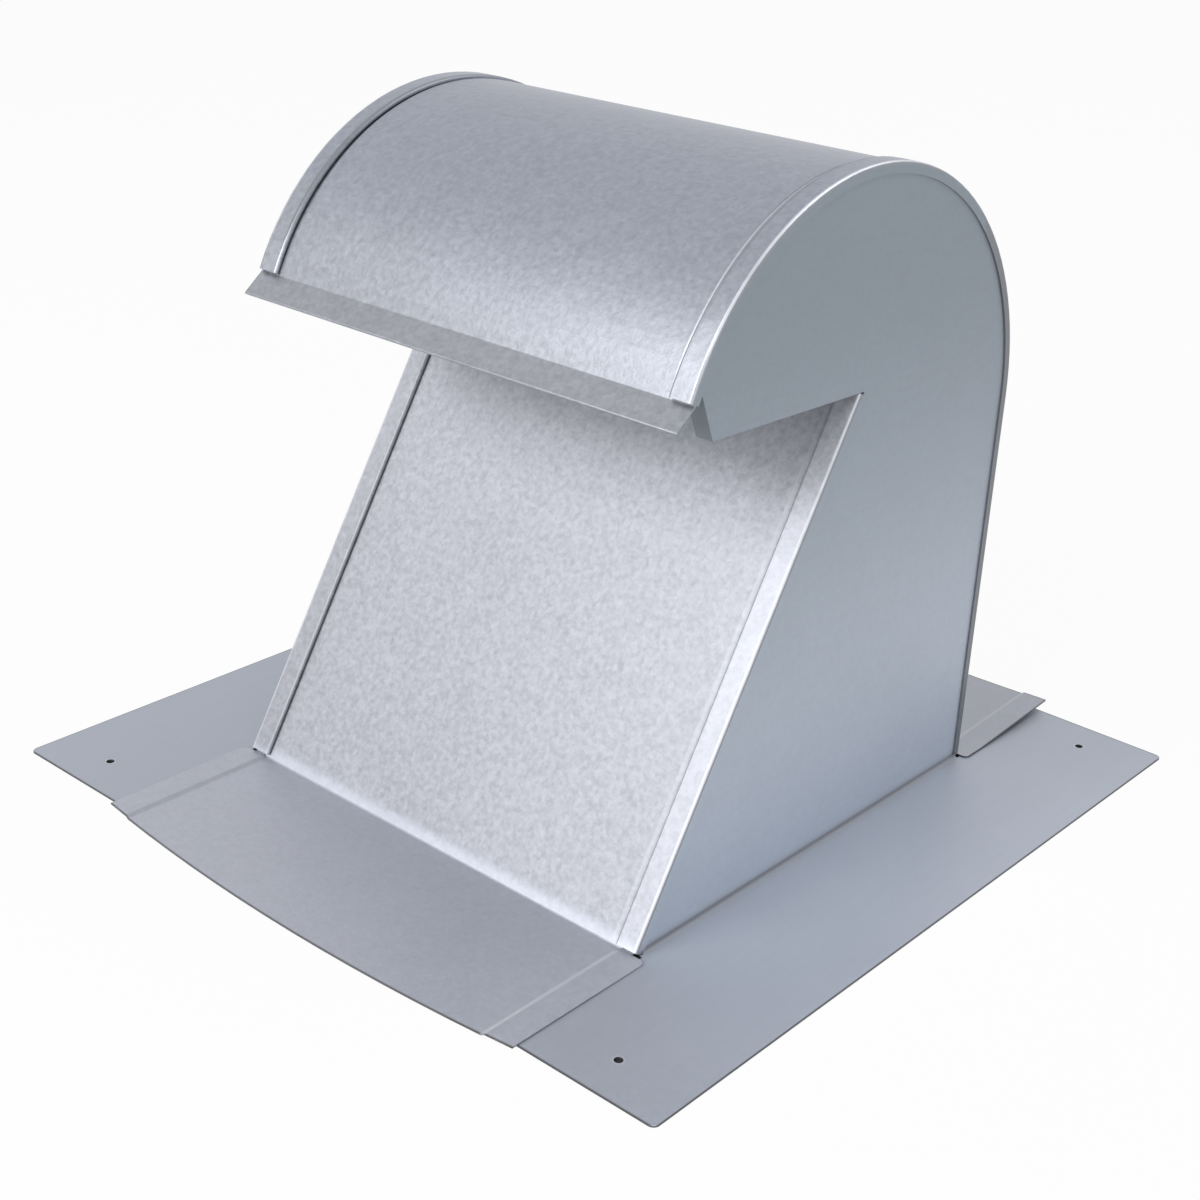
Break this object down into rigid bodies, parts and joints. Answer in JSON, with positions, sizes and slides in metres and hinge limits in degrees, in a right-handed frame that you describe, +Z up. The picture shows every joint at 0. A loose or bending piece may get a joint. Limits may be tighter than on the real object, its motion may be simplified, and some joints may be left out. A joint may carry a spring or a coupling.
{
  "type": "gooseneck roof vent",
  "caption": "Galvanised sheet-steel roof vent with a sloping throat, a rounded hood over a downward mouth, folded lock seams and a lapped base flange.",
  "frame": {"origin": "centre of the base at the underside of the flange", "axes": "+Z up, -Y towards the mouth under the hood, +X to the right as seen from the mouth"},
  "size_m": [0.324, 0.345, 0.257],
  "materials": {
    "side_sheet": "galvanised, dull",
    "throat_sheet": "galvanised, fine spangle",
    "hood_sheet": "galvanised, dull"
  },
  "bodies": {
    "root": {"left_side_panel": "side_sheet", "right_side_panel": "side_sheet", "throat_panel": "throat_sheet", "hood_wrapper": "hood_sheet"}
  },
  "joints": []
}
